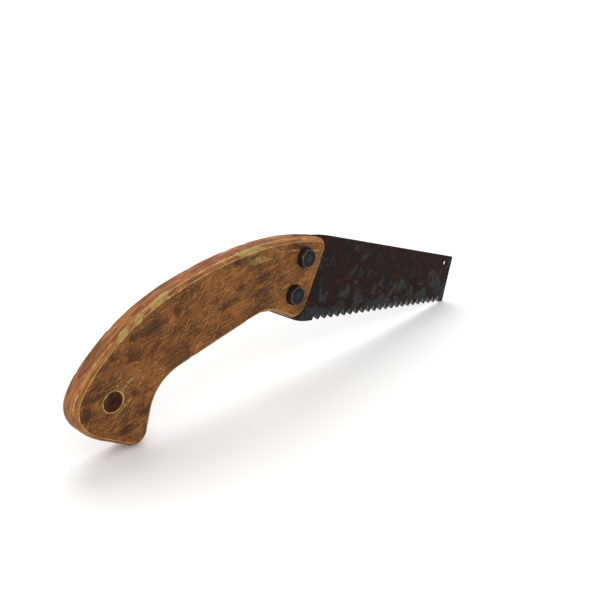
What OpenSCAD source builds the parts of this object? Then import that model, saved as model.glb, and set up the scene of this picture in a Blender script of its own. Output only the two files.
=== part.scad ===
// Folding pruning saw: a one-piece wooden handle, sawn open along its underside,
// and a coarse-toothed steel blade that folds into it about the lower of two bolts.
// Origin: centre of the hang hole, midway through the handle.
// +X runs along the saw to the blade's end, +Y to the nut side, +Z to the handle's back.

/* [Handle] */
// Distance from the hang hole forward to the pivot bolt
grip_l = 168; // [150:1:205]
// Height of the pivot bolt above the hang hole
grip_rise = 29; // [24:1:35]
// Thickness of the wood from face to face
handle_t = 18.2; // [14:0.2:24]
// Size of the 45 degree chamfer along both faces
handle_chamfer = 2.8; // [1:0.1:4]
// Distance from the hang hole back to the butt's rear corner, before it is rounded
butt_l = 33.5; // [28:0.5:41]
// Depth of the butt's toe corner below the hang hole, before it is rounded
butt_drop = 47.5; // [40:0.5:56]
// Height of the handle's back above the pivot bolt
back_h = 48.8; // [46:0.2:56]
// Length of the nose in front of the pivot bolt, at its top corner
nose_l = 41.5; // [36:0.5:50]
// Depth of the nose's lower corner below the pivot bolt, before it is rounded
nose_drop = 27.5; // [25:0.5:33]
// Radius of the hang hole
hang_r = 7.5; // [5:0.1:10]
// Wood left between the hang hole and the blade slot
hang_web = 7; // [2:0.1:9]

/* [Blade] */
// Thickness of the blade
blade_t = 2; // [1.2:0.1:3]
// Length of the blade from the pivot to its end, along the tooth line
blade_l = 231; // [180:1:280]
// Width of the blade at its end
tip_w = 45.4; // [36:0.2:55]
// How far the end edge leans back at its lower corner
tip_lean = 4; // [0:0.5:8]
// Height of the blade's back above the pivot, at the tang
tang_back_h = 45.4; // [43:0.2:48]
// Radius of the round tang about the pivot
tang_r = 24.4; // [21:0.1:25]
// Distance from the pivot to the bottoms of the tooth gullets
tooth_line = 22.9; // [20:0.1:27]
// Slope of the tooth line below the X axis when the blade is open, in degrees
tooth_slope = 11.3; // [8:0.1:14]
// Distance from one tooth to the next, three teeth to the inch
tooth_pitch = 8.47; // [5:0.01:12]
// Depth of a tooth from gullet to tip
tooth_h = 4.7; // [2:0.1:6]
// Distance from the pivot to the first gullet, along the tooth line
first_gullet = 38; // [36:0.5:48]
// Radius of the small hole near the blade's end
tip_hole_r = 2.3; // [1.5:0.1:4]
// Distance from the blade's end to that hole
tip_hole_in = 11.5; // [6:0.5:20]
// Distance from the blade's back corner down to that hole
tip_hole_down = 5.8; // [5:0.1:12]

/* [Bolts] */
// Radius of both bolts
bolt_r = 4; // [3:0.1:4.5]
// Distance from the pivot bolt to the stop bolt
stop_r = 30.5; // [30:0.1:34]
// Direction from the pivot bolt to the stop bolt, in degrees above the X axis
stop_a = 66.2; // [62:0.1:70]
// Width of the hexagon heads and nuts across their flats
hex_af = 14; // [10:0.5:16]
// Height of a bolt head
head_h = 4.3; // [3:0.1:6]
// Height of a nut
nut_h = 6.5; // [4:0.1:8]
// Radius of the flat washers
washer_r = 8.5; // [7:0.1:10]
// Thickness of a flat washer
washer_t = 1; // [0.6:0.1:2]
// Outer radius of the spring washers
lock_r = 6.4; // [5.6:0.1:7.5]
// Thickness of a spring washer
lock_t = 1.8; // [1:0.1:2.5]
// Length of bolt that stands out of its nut
bolt_end = 1.5; // [0.5:0.1:4]
// Turn of the pivot bolt's head about its axis, in degrees
pivot_turn = 24; // [0:1:59]
// Turn of the stop bolt's head about its axis, in degrees
stop_turn = 36; // [0:1:59]

/* [Clearances] */
// Gap between the blade and each wall of its slot
kerf_gap = 0.2; // [0.1:0.05:0.4]
// Gap between the folded tooth tips and the bottom of the slot
tooth_gap = 1.4; // [1:0.1:3]
// Radial gap between the pivot bolt and the blade
pivot_gap = 0.06; // [0.02:0.01:0.1]
// Gap between the stop bolt and the walls of the blade's arc notch
stop_gap = 0.3; // [0.2:0.05:0.6]
// Radial gap between a bolt and the wood, a washer or a nut
fit_gap = 0.1; // [0.05:0.05:0.4]

/* [Hidden] */
$fn = 64;

// How far an outline's chords may stray from its true arcs
chord_gap = 0.03;
// Extra length of a cut past the surface that it opens
over = 1;
// Reach of the slot's open sides, past every side of the handle
far = 120;

half_t = handle_t / 2;
pivot = [grip_l, grip_rise];
stop = pivot + stop_r * [cos(stop_a), sin(stop_a)];
hex_r = hex_af / 2 / cos(30);

// Handle outline, clockwise from the butt: corner x, corner z, radius of its rounding.
// The butt is set out from the hang hole and the nose from the pivot bolt.
back_z = grip_rise + back_h;
nose_x = grip_l + nose_l;
handle_corners = [
    [-butt_l, -3, 22.5],
    [-butt_l + 12, 18, 62],
    [14, back_z - 24.5, 155],
    [90, back_z - 3, 317],
    [grip_l - 6, back_z, 227],
    [nose_x, grip_rise + 36.7, 8],
    [grip_l + 8.6, grip_rise - nose_drop, 13.5],
    [grip_l - 26.5, grip_rise - 4.5, 35],
    [57.5, 5.7, 125],
    [35.3, -0.5, 34],
    [22, -butt_drop, 10.5],
    [-butt_l + 15, -21.5, 48]
];

// Blade outline in its own frame: x along the tooth line, y away from the teeth,
// with the pivot at the origin.
tip_depth = tooth_line + tooth_h;
tip_back = tip_w - tip_depth;
land_x = blade_l - tip_lean;
// The last tooth ends in a flat land at least this long
land_min = 6;
teeth = floor((land_x - first_gullet - land_min) / tooth_pitch) + 1;
// The blade's back bends down this far in front of the pivot
bend_x = 34;
heel_corners = [
    [-20.5, -13.2, 0],
    [20.5, -tip_depth, 60],
    [first_gullet - 2.8, -tip_depth, 0]
];
back_corners = [
    [blade_l, tip_back, 0],
    [bend_x, tang_back_h, 130],
    [0, tang_back_h, 0]
];
// Angle of the stop bolt as the open blade sees it
notch_a = stop_a + tooth_slope;
notch_w = bolt_r + stop_gap;
// Sweep of the arc notch, far enough to run out of the tang
notch_sweep = 70;

// The blade folds until its tooth tips lie clear under the hang hole
kerf_w = blade_t + 2 * kerf_gap;
kerf_d = tip_depth + tooth_gap;
pivot_l = norm(pivot);
kerf_a = 180 + atan2(grip_rise, grip_l) - acos((kerf_d + hang_r + hang_web) / pivot_l);
fold_a = 270 - tooth_slope - kerf_a;
echo(fold_degrees = fold_a, teeth = teeth, stop_bolt = stop, folded_tooth_line = kerf_a);
// Straight pieces that make the slot's round end
slot_steps = 12;
// The slot's top opening starts this far behind the blade's rear edge, at the height
// where that edge first stands out of the slot's round end
horn_gap = 1;
horn_low = stop_r - notch_w > kerf_d ? kerf_d : stop_r + notch_w;
slot_x = pivot[0] + horn_low * sin(tooth_slope) - horn_gap;

function unit(v) = v / norm(v);
function at(list, i) = list[(i + len(list)) % len(list)];
function flat(p) = [p[0], p[1]];
function cross2(a, b) = a[0] * b[1] - a[1] * b[0];

// Distance from a corner to where its rounding starts, before and after it is fitted in
function wanted_cut(c, i) =
    let (q = flat(at(c, i)), a = unit(flat(at(c, i - 1)) - q), b = unit(flat(at(c, i + 1)) - q))
    at(c, i)[2] / tan(acos(a * b) / 2);
function share(c, i) =
    min(1, norm(flat(at(c, i + 1)) - flat(at(c, i))) / (wanted_cut(c, i) + wanted_cut(c, i + 1)));
function fitted_cut(c, i) = wanted_cut(c, i) * min(share(c, i - 1), share(c, i));

// Points of a rounded corner of a clockwise outline, moved inwards by inset
function corner_points(c, i, cut, inset) =
    let (
        q = flat(at(c, i)),
        a = unit(flat(at(c, i - 1)) - q),
        b = unit(flat(at(c, i + 1)) - q),
        half = acos(a * b) / 2,
        r = cut * tan(half),
        centre = q + unit(a + b) * r / sin(half),
        outward = cross2(a, b) > 0 ? 1 : -1,
        start = q + a * cut - centre,
        turn = (180 - 2 * half) * -outward,
        steps = max(1, ceil(abs(turn) / (2 * acos(1 - chord_gap / max(r, 1)))))
    )
    [for (k = [0:steps])
        let (t = turn * k / steps, ray = unit(start), x = ray[0], y = ray[1])
        centre + (r - outward * inset) * [x * cos(t) - y * sin(t), x * sin(t) + y * cos(t)]];
function rounded(c, inset = 0) =
    [for (i = [0:len(c) - 1]) each corner_points(c, i, fitted_cut(c, i), inset)];

// Points of one corner of an open outline
function open_corner(c, i) = corner_points(c, i, wanted_cut(c, i), 0);

// One tooth from its gullet on: a steep ground front, a blunt tip, a long sloping back
function tooth(x) = [
    [x, -tooth_line],
    [x + 0.17 * tooth_pitch, -tooth_line - 0.66 * tooth_h],
    [x + 0.51 * tooth_pitch, -tip_depth],
    [x + 0.6 * tooth_pitch, -tip_depth]
];

// Stands a flat outline up in the XZ plane, centred on the blade's plane
module upright(thickness) {
    rotate([90, 0, 0])
        linear_extrude(thickness, center = true)
            children();
}

// Places a piece that is modelled along +Z on a bolt's axis, facing the head side
module at_bolt(axis, y) {
    translate([axis[0], y, axis[1]])
        rotate([90, 0, 0])
            children();
}

// Three-sided ring that takes the chamfer off the edge of the front face
module chamfer_cut(corners, half, chamfer) {
    edge = rounded(corners);
    inner = rounded(corners, chamfer + over);
    outer = rounded(corners, -over);
    // Roundings that meet share a point, which is kept once
    kept = [for (i = [0:len(edge) - 1]) if (norm(edge[i] - at(edge, i - 1)) > chord_gap) i];
    n = len(kept);
    points = [for (i = kept) each [
        [inner[i][0], -half - over, inner[i][1]],
        [outer[i][0], -half - over, outer[i][1]],
        [outer[i][0], -half + chamfer + over, outer[i][1]]]];
    faces = [for (i = [0:n - 1], k = [0:2])
        let (next = (i + 1) % n, side = (k + 1) % 3)
        [3 * i + k, 3 * i + side, 3 * next + side, 3 * next + k]];
    polyhedron(points, faces, convexity = 6);
}

module chamfered_plate(corners, half, chamfer) {
    difference() {
        upright(2 * half)
            polygon(rounded(corners));
        chamfer_cut(corners, half, chamfer);
        mirror([0, 1, 0])
            chamfer_cut(corners, half, chamfer);
    }
}

// Slot for the blade: a round end about the tang, all that lies below the folded teeth,
// and the open top and front of the nose
module kerf_outline() {
    across = [cos(kerf_a), sin(kerf_a)];
    along = [-across[1], across[0]];
    top_a = acos((slot_x - pivot[0]) / kerf_d);
    butt_end = pivot + kerf_d * across + 2 * pivot_l * along;
    polygon(concat(
        [butt_end],
        [for (k = [0:slot_steps])
            let (a = kerf_a + (top_a - kerf_a) * k / slot_steps)
            pivot + kerf_d * [cos(a), sin(a)]],
        [[slot_x, far], [nose_x + far, far], [nose_x + far, -far],
            butt_end - 2 * far * across]));
}

module bolt_bore(axis) {
    at_bolt(axis, half_t + over)
        cylinder(r = bolt_r + fit_gap, h = handle_t + 2 * over);
}

module handle() {
    color("#8a5a2e")
        difference() {
            chamfered_plate(handle_corners, half_t, handle_chamfer);
            upright(kerf_w)
                kerf_outline();
            at_bolt([0, 0], half_t + over)
                cylinder(r = hang_r, h = handle_t + 2 * over);
            bolt_bore(pivot);
            bolt_bore(stop);
        }
}

// Part ring about the pivot that lets the stop bolt leave its seat as the blade folds
module stop_notch() {
    intersection() {
        difference() {
            circle(stop_r + notch_w);
            circle(stop_r - notch_w);
        }
        polygon([[0, 0], far * [cos(notch_a), sin(notch_a)],
            far * [cos(notch_a + notch_sweep / 2), sin(notch_a + notch_sweep / 2)],
            far * [cos(notch_a + notch_sweep), sin(notch_a + notch_sweep)]]);
    }
    translate(stop_r * [cos(notch_a), sin(notch_a)])
        circle(notch_w);
}

module blade_outline() {
    polygon(concat(
        [[heel_corners[0][0], heel_corners[0][1]]],
        open_corner(heel_corners, 1),
        [[heel_corners[2][0], heel_corners[2][1]]],
        [for (i = [0:teeth - 1]) each tooth(first_gullet + i * tooth_pitch)],
        [[land_x, -tip_depth], [blade_l, tip_back]],
        open_corner(back_corners, 1),
        [[0, tang_back_h], [0, 0]]));
}

// Round tang, cut off straight along the heel
module tang_outline() {
    heel = flat(heel_corners[1]) - flat(heel_corners[0]);
    below = far * [heel[1], -heel[0]] / norm(heel);
    start = flat(heel_corners[0]) - heel;
    difference() {
        circle(tang_r);
        polygon([start, start + 4 * heel, start + 4 * heel + below, start + below]);
    }
}

module blade() {
    color("#2e2622")
        translate([pivot[0], 0, pivot[1]])
            rotate([0, tooth_slope, 0])
                upright(blade_t)
                    difference() {
                        union() {
                            blade_outline();
                            tang_outline();
                        }
                        circle(bolt_r + pivot_gap);
                        stop_notch();
                        translate([blade_l - tip_hole_in, tip_back - tip_hole_down])
                            circle(tip_hole_r);
                    }
}

// Hexagon with one or both of its ends turned down to a 30 degree cone
module hex_body(height, turn, both_ends) {
    face_r = 0.97 * hex_af / 2;
    rim = hex_r + over;
    drop = (rim - face_r) * tan(30);
    bottom = both_ends ? [[face_r, 0], [rim, drop]] : [[rim, 0]];
    intersection() {
        rotate([0, 0, turn])
            cylinder(r = hex_r, h = height, $fn = 6);
        rotate_extrude()
            polygon(concat([[0, 0]], bottom, [[rim, height - drop], [face_r, height], [0, height]]));
    }
}

// Hexagon bolt: its head faces the viewer's side, its end stands out of the nut
module bolt(axis, turn) {
    seat = half_t + washer_t;
    shank = seat + half_t + washer_t + lock_t + nut_h + bolt_end;
    tip = bolt_r / 5;
    color("#3c3a38")
        at_bolt(axis, -seat) {
            hex_body(head_h, turn, false);
            rotate([180, 0, 0])
                rotate_extrude()
                    polygon([[0, 0], [bolt_r, 0], [bolt_r, shank - tip], [bolt_r - tip, shank],
                        [0, shank]]);
        }
}

module ring(outer_r, thickness) {
    difference() {
        cylinder(r = outer_r, h = thickness);
        translate([0, 0, -over])
            cylinder(r = bolt_r + fit_gap, h = thickness + 2 * over);
    }
}

module flat_washer(axis, y) {
    color("#1c1a19")
        at_bolt(axis, y)
            ring(washer_r, washer_t);
}

// Spring washer: a ring with a narrow slanted cut
module lock_washer(axis) {
    cut_w = 0.8;
    color("#4a4744")
        at_bolt(axis, half_t + washer_t + lock_t)
            difference() {
                ring(lock_r, lock_t);
                rotate([0, 25, 0])
                    translate([-cut_w / 2, 0, -2 * lock_t])
                        cube([cut_w, 2 * lock_r, 5 * lock_t]);
            }
}

module nut(axis, turn) {
    color("#3c3a38")
        at_bolt(axis, half_t + washer_t + lock_t + nut_h)
            difference() {
                hex_body(nut_h, turn, true);
                translate([0, 0, -over])
                    cylinder(r = bolt_r + fit_gap, h = nut_h + 2 * over);
            }
}

module pivot_bolt() bolt(pivot, pivot_turn);
module pivot_head_washer() flat_washer(pivot, -half_t);
module pivot_nut_washer() flat_washer(pivot, half_t + washer_t);
module pivot_lock_washer() lock_washer(pivot);
module pivot_nut() nut(pivot, stop_turn);
module stop_bolt() bolt(stop, stop_turn);
module stop_head_washer() flat_washer(stop, -half_t);
module stop_nut_washer() flat_washer(stop, half_t + washer_t);
module stop_lock_washer() lock_washer(stop);
module stop_nut() nut(stop, pivot_turn);

handle();
blade();
pivot_bolt();
pivot_head_washer();
pivot_nut_washer();
pivot_lock_washer();
pivot_nut();
stop_bolt();
stop_head_washer();
stop_nut_washer();
stop_lock_washer();
stop_nut();
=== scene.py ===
# Folding pruning saw: the looks of its wooden handle, toothed blade and two bolts, built round the
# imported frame. All sizes are in metres: +X to the blade's end, +Y to the nuts, +Z to the handle's back.
import math
import random

import bmesh
import bpy
import numpy as np
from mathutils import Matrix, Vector, geometry, kdtree, noise


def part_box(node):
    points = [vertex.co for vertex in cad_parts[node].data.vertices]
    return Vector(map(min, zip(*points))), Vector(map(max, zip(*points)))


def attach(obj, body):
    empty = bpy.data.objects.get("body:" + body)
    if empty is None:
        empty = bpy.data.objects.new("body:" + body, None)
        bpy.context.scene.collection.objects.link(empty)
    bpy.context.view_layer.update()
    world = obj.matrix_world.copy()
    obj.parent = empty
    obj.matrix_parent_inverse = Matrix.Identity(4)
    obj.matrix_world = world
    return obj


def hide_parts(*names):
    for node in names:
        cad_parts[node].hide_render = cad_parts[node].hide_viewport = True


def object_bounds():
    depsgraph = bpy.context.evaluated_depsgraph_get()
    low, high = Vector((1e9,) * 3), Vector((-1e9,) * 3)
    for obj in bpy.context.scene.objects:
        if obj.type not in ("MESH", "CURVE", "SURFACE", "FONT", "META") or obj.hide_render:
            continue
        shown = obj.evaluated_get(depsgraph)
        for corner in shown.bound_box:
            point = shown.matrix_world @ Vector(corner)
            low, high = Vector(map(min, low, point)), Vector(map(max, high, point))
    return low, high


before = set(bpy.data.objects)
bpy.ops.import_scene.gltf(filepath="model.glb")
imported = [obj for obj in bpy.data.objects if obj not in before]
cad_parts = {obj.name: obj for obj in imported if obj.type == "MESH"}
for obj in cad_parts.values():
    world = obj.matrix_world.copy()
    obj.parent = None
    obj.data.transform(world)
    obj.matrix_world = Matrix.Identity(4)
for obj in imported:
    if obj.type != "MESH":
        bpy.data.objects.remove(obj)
cad_low, cad_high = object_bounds()
MM = 0.001

# --- Wooden handle: its shape -----------------------------------------------------------------
# The handle is one board, bandsawn to its outline, chamfered along both faces, bored for two bolts
# and a hang hole, and sawn open along its underside for the blade. Use has rounded its edges.
HALF_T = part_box("handle")[1].y
CHAMFER = 2.8 * MM
HANG_R = 7.5 * MM
BORE_R = 4.1 * MM
FRONT_RIM = 0.45 * MM
BACK_RIM = 0.15 * MM
JOIN = 2e-6  # points closer than this are one point
KNOCKS = 90


def merged_copy(node):
    """A mesh of the CAD node with its loose triangles joined."""
    bm = bmesh.new()
    bm.from_mesh(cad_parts[node].data)
    bmesh.ops.remove_doubles(bm, verts=bm.verts, dist=1e-6)
    bm.normal_update()
    return bm


def loops_of(edges):
    """The closed rings of points that these edges run through, longest first."""
    beside = {}
    for e in edges:
        for v, w in (e.verts, reversed(e.verts)):
            beside.setdefault(v, []).append(w)
    rings, seen = [], set()
    for first in beside:
        if first in seen:
            continue
        ring, here = [], first
        while here is not None:
            seen.add(here)
            ring.append(here.co.copy())
            here = next((w for w in beside[here] if w not in seen), None)
        rings.append(ring)
    return sorted(rings, key=lambda r: -sum((a - b).length for a, b in zip(r, r[1:] + r[:1])))


def even_ring(ring, step):
    """The ring as x and z, set out again at even steps and run clockwise seen from the heads' side."""
    flat = np.array([(p.x, p.z) for p in ring])
    nxt = np.roll(flat, -1, 0)
    if np.sum(flat[:, 0] * nxt[:, 1] - nxt[:, 0] * flat[:, 1]) > 0:
        flat = flat[::-1]
    closed = np.vstack([flat, flat[:1]])
    run = np.concatenate([[0], np.cumsum(np.linalg.norm(np.diff(closed, axis=0), axis=1))])
    n = int(run[-1] / step)
    at = np.arange(n) * run[-1] / n
    return np.column_stack([np.interp(at, run, closed[:, k]) for k in (0, 1)]), run[-1]


def blurred(values, reach):
    """The values round a ring, each averaged with its neighbours."""
    out = np.zeros_like(values)
    for k in range(-3 * reach, 3 * reach + 1):
        out += np.roll(values, k, 0) * math.exp(-0.5 * (k / reach) ** 2)
    return out / sum(math.exp(-0.5 * (k / reach) ** 2) for k in range(-3 * reach, 3 * reach + 1))


def skin(bm, rows, uv_rows=None, joined=False, wear=None):
    """Quads between rows of points that each run once round a closed ring; wear is each row's share of bright
    colour, and below zero its share of painted shade; on the bolt heads the bright share is partly painted
    highlight.
    """
    uv = bm.loops.layers.uv.verify()
    worn = bm.verts.layers.float.new("worn") if wear else None
    verts = [[bm.verts.new(p) for p in row] for row in rows]
    for row, share in zip(verts, wear or ()):
        for v in row:
            v[worn] = share
    n = len(rows[0])
    pairs = list(zip(range(len(rows) - 1), range(1, len(rows))))
    for a, b in pairs + ([(len(rows) - 1, 0)] if joined else []):
        for i in range(n):
            j = (i + 1) % n
            face = bm.faces.new((verts[a][i], verts[a][j], verts[b][j], verts[b][i]))
            if uv_rows:
                ends = ((i, a), (i + 1, a), (i + 1, b), (i, b))
                for loop, (k, row) in zip(face.loops, ends):
                    loop[uv].uv = (k * uv_rows[1], uv_rows[0][row])
    return verts


def fill(bm, rings, y, step):
    """A flat face at y inside the first ring and outside the others, in triangles of about that size."""
    points = [Vector(p) for ring in rings for p in ring]
    edges, start = [], 0
    for ring in rings:
        edges += [(start + i, start + (i + 1) % len(ring)) for i in range(len(ring))]
        start += len(ring)
    corners = np.array([p for ring in rings for p in ring])
    starts = np.array([p for ring in rings for p in ring])
    ends = np.array([ring[(i + 1) % len(ring)] for ring in rings for i in range(len(ring))])

    def inside(p):
        crossing = (starts[:, 1] > p[1]) != (ends[:, 1] > p[1])
        s, e = starts[crossing], ends[crossing]
        x = s[:, 0] + (p[1] - s[:, 1]) * (e[:, 0] - s[:, 0]) / (e[:, 1] - s[:, 1])
        return np.count_nonzero(x > p[0]) % 2 == 1

    low, high = corners.min(0), corners.max(0)
    if step:
        for i in range(int((high[0] - low[0]) / step)):
            for j in range(int((high[1] - low[1]) / step)):
                p = low + step * np.array([i + 0.5 + 0.5 * (j % 2), j + 0.5])
                if inside(p) and np.min(np.sum((corners - p) ** 2, 1)) > (0.5 * step) ** 2:
                    points.append(Vector(p))
    flat, _, faces, *_ = geometry.delaunay_2d_cdt(points, edges, [], 0, 1e-9)
    verts = {}
    for face in faces:
        middle = sum((flat[i] for i in face), Vector((0, 0))) / len(face)
        if inside(middle):
            for i in face:
                if i not in verts:
                    verts[i] = bm.verts.new((flat[i].x, y, flat[i].y))
            bm.faces.new([verts[i] for i in face])


def round_corner(before, corner, after, parts=4):
    """Points of a small rounding that starts at one point, bends at the corner and ends at the other."""
    steps = [k / parts for k in range(parts + 1)]
    return [(1 - u) ** 2 * before + 2 * u * (1 - u) * corner + u * u * after for u in steps]


def in_scene(name, data):
    """A new object with this data, put in the scene."""
    made = bpy.data.objects.new(name, data)
    bpy.context.scene.collection.objects.link(made)
    return made


def smooth_piece(bm, name, angle):
    """A piece from the mesh, smooth but for edges over the angle."""
    mesh = bpy.data.meshes.new(name)
    bm.to_mesh(mesh)
    bm.free()
    mesh.shade_smooth()
    mesh.set_sharp_from_angle(angle=math.radians(angle))
    return in_scene(name, mesh)


def finished(bm, name, angle):
    """A smooth piece from the mesh, with its doubles joined and its faces turned outward."""
    bmesh.ops.remove_doubles(bm, verts=bm.verts, dist=JOIN)
    bmesh.ops.recalc_face_normals(bm, faces=bm.faces)
    return smooth_piece(bm, name, angle)


def plain_mesh(piece, name):
    """The piece with its modifiers made real and taken off."""
    mesh = bpy.data.meshes.new_from_object(
        piece.evaluated_get(bpy.context.evaluated_depsgraph_get()))
    mesh.name = name
    piece.modifiers.clear()
    piece.data = mesh
    return piece


def circle(centre, radius, n=96):
    turns = [2 * math.pi * i / n for i in range(n)]
    return [(centre[0] + radius * math.cos(t), centre[1] + radius * math.sin(t)) for t in turns]


cad = merged_copy("handle")
slot_half = min(abs(v.co.y) for v in cad.verts)
side_y = HALF_T - CHAMFER
outline, girth = even_ring(loops_of(
    [e for e in cad.edges if all(abs(v.co.y + side_y) < 1e-5 for v in e.verts)])[0], 1 * MM)
outline = blurred(outline, 2)
tangent = np.roll(outline, -1, 0) - np.roll(outline, 1, 0)
tangent /= np.linalg.norm(tangent, axis=1)[:, None]
inward = blurred(np.column_stack([tangent[:, 1], -tangent[:, 0]]), 2)
inward /= np.linalg.norm(inward, axis=1)[:, None]
columns = len(outline)
column = girth / columns

# Knocks in the edges: where along the outline, how long and how deep each one is
chance = random.Random(4)
knocks = [(chance.uniform(0, girth), chance.uniform(0.8, 3.2) * MM, chance.uniform(0.1, 0.55) * MM)
          for _ in range(KNOCKS)]


def edge_wear(i, row):
    """How far the edge of this row is worn away at this column."""
    at = i * column
    worn = 0.16 * MM * (1 + noise.noise(Vector((at * 90, row * 7.3, 2))))
    for k, (where, long, deep) in enumerate(knocks):
        if k % 4 == row:
            gap = abs((at - where + girth / 2) % girth - girth / 2)
            worn += deep * math.exp(-(gap / long) ** 2)
    return worn


def handle_section(i):
    """Inset from the outline and y, from one face round the side to the other, with the line's run."""
    half = []
    for k, sign in enumerate((-1, 1)):
        low, high = edge_wear(i, 2 * k), edge_wear(i, 2 * k + 1)
        t1 = (0.42 + 0.2 * noise.noise(Vector((i * column * 120, k, 5)))) * MM
        t2 = (0.48 + 0.2 * noise.noise(Vector((i * column * 120, k, 9)))) * MM
        side, top = Vector((low, side_y - 0.4 * low)), Vector((CHAMFER + 0.4 * high, HALF_T))
        slope = (top - side).normalized()
        rows = [Vector((0, y * MM)) for y in (2.4, 3.6, 4.8)]
        rows += [side - Vector((0, t1 + 0.45 * MM))]
        rows += round_corner(side - Vector((0, t1)), side, side + slope * t1)
        rows += [side + slope * (t1 + d * MM) for d in (0.4, 0.85)]
        rows += [(side + top) / 2]
        rows += [top - slope * (t2 + d * MM) for d in (0.85, 0.4)]
        rows += round_corner(top - slope * t2, top, top + Vector((t2, 0)))
        rows += [top + Vector((t2 + d * MM, 0)) for d in (0.4, 0.9)]
        half.append([Vector((p.x, p.y * sign)) for p in rows])
    return half[0][::-1] + [Vector((0, -slot_half)), Vector((0, 0)), Vector((0, slot_half))] + half[1]


sections = [handle_section(i) for i in range(columns)]
runs = [0]
for a, b in zip(sections[0], sections[0][1:]):
    runs.append(runs[-1] + (b - a).length)
rows = [[(outline[i][0] + inward[i][0] * sections[i][k].x, sections[i][k].y,
          outline[i][1] + inward[i][1] * sections[i][k].x) for i in range(columns)]
        for k in range(len(sections[0]))]
pivot_box, stop_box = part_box("pivot_bolt"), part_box("stop_bolt")
pivot = [(pivot_box[0][k] + pivot_box[1][k]) / 2 for k in (0, 2)]
stop = [(stop_box[0][k] + stop_box[1][k]) / 2 for k in (0, 2)]

bm = bmesh.new()
skin(bm, rows, (runs, column))
hole_line = [Vector((HANG_R + 2.2 * MM, HALF_T)), Vector((HANG_R + 1.5 * MM, HALF_T))]
hole_line += round_corner(Vector((HANG_R + BACK_RIM, HALF_T)), Vector((HANG_R, HALF_T)),
                          Vector((HANG_R, HALF_T - BACK_RIM)))
hole_line += [Vector((HANG_R, y * MM)) for y in (7.6, 5.1, 2.5, 0, -2.5, -5.1, -7.6)]
hole_line += round_corner(Vector((HANG_R, FRONT_RIM - HALF_T)), Vector((HANG_R, -HALF_T)),
                          Vector((HANG_R + FRONT_RIM, -HALF_T)))
hole_line += [Vector((HANG_R + 1.5 * MM, -HALF_T)), Vector((HANG_R + 2.2 * MM, -HALF_T))]
skin(bm, [[(x, p.y, z) for x, z in circle((0, 0), p.x)] for p in hole_line])
for centre in (pivot, stop):
    skin(bm, [[(x, y, z) for x, z in circle(centre, BORE_R, 48)] for y in (-HALF_T, HALF_T)])
for k, y in ((0, -HALF_T), (-1, HALF_T)):
    fill(bm, [[(p[0], p[2]) for p in rows[k]], circle((0, 0), hole_line[0].x),
              circle(pivot, BORE_R, 48), circle(stop, BORE_R, 48)], y, 2.2 * MM)
handle = finished(bm, "handle_wood", 50)

# The blade's slot is sawn out of the board: the cut is the CAD slot, carried out past the outline
wall = [f for f in cad.faces if f.normal.y < -0.99 and abs(f.calc_center_median().y - slot_half) < 1e-5]
border = [e for e in cad.edges if sum(f in wall for f in e.link_faces) == 1]
slot_ring = loops_of(border)[0]
near = kdtree.KDTree(columns)
for i, p in enumerate(outline):
    near.insert((p[0], 0, p[1]), i)
near.balance()
cut_ring = []
for p in slot_ring:
    _, i, gap = near.find((p.x, 0, p.z))
    out = 3 * MM if gap < 0.8 * MM else 0
    cut_ring.append((p.x - inward[i][0] * out, p.z - inward[i][1] * out))
cad.free()
bm = bmesh.new()
low, high = ([bm.verts.new((x, y, z)) for x, z in cut_ring] for y in (-slot_half, slot_half))
bm.faces.new(low)
bm.faces.new(high[::-1])
for i in range(len(low)):
    j = (i + 1) % len(low)
    bm.faces.new((low[i], low[j], high[j], high[i]))
slot_cut = finished(bm, "slot_cut", 30)

# --- Wooden handle: its finish ----------------------------------------------------------------
# Old oiled hardwood, orange-brown, streaked along the grain and cross-scratched, with dark stains.
# Where the oil has worn off, along the edges and in strokes and patches, the wood is pale khaki.


def paint(red, green, blue):
    """A colour from its 0 to 255 values."""
    return [((c / 255 + 0.055) / 1.055) ** 2.4 if c > 10 else c / 3295 for c in (red, green, blue)] + [1]


def add(tree, kind, inputs=(), **settings):
    """A new node in the tree, each input set to a value or joined to an output."""
    made = tree.nodes.new(kind)
    for name, value in settings.items():
        setattr(made, name, value)
    for socket, value in dict(inputs).items():
        if isinstance(value, bpy.types.NodeSocket):
            tree.links.new(value, made.inputs[socket])
        else:
            made.inputs[socket].default_value = value
    return made


def calc(tree, kind, *values):
    """A Math node's result."""
    return add(tree, "ShaderNodeMath", enumerate(values), operation=kind).outputs[0]


def times(tree, a, b):
    return calc(tree, "MULTIPLY", a, b)


def plus(tree, a, b):
    return calc(tree, "ADD", a, b)


def vector_calc(tree, kind, a, b):
    return add(tree, "ShaderNodeVectorMath", {0: a, 1: b}, operation=kind).outputs[0]


def stored(tree, name):
    """A value kept at each point of the mesh."""
    return add(tree, "ShaderNodeAttribute", attribute_name=name).outputs["Fac"]


def bumped(tree, shader, strength, distance, height):
    """Fine relief in the surface."""
    bump = add(tree, "ShaderNodeBump", {"Strength": strength, "Distance": distance, "Height": height})
    tree.links.new(bump.outputs[0], shader.inputs["Normal"])


def blend(tree, share, a, b, how="MIX"):
    """One colour laid over another."""
    return add(tree, "ShaderNodeMix", {0: share, 6: a, 7: b}, data_type="RGBA",
               blend_type=how).outputs[2]


def ramp(tree, value, low, high, to_low=0.0, to_high=1.0):
    """The value taken smoothly from one range to another, and held at its ends."""
    return add(tree, "ShaderNodeMapRange", {"Value": value, "From Min": low, "From Max": high,
                                            "To Min": to_low, "To Max": to_high},
               interpolation_type="SMOOTHSTEP").outputs[0]


def speckle(tree, where, scale, detail=2.0, rough=0.5, warp=0.0):
    """A noise value at so many features per metre."""
    return add(tree, "ShaderNodeTexNoise", {"Vector": where, "Scale": scale, "Detail": detail,
                                            "Roughness": rough, "Distortion": warp}).outputs[0]


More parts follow.
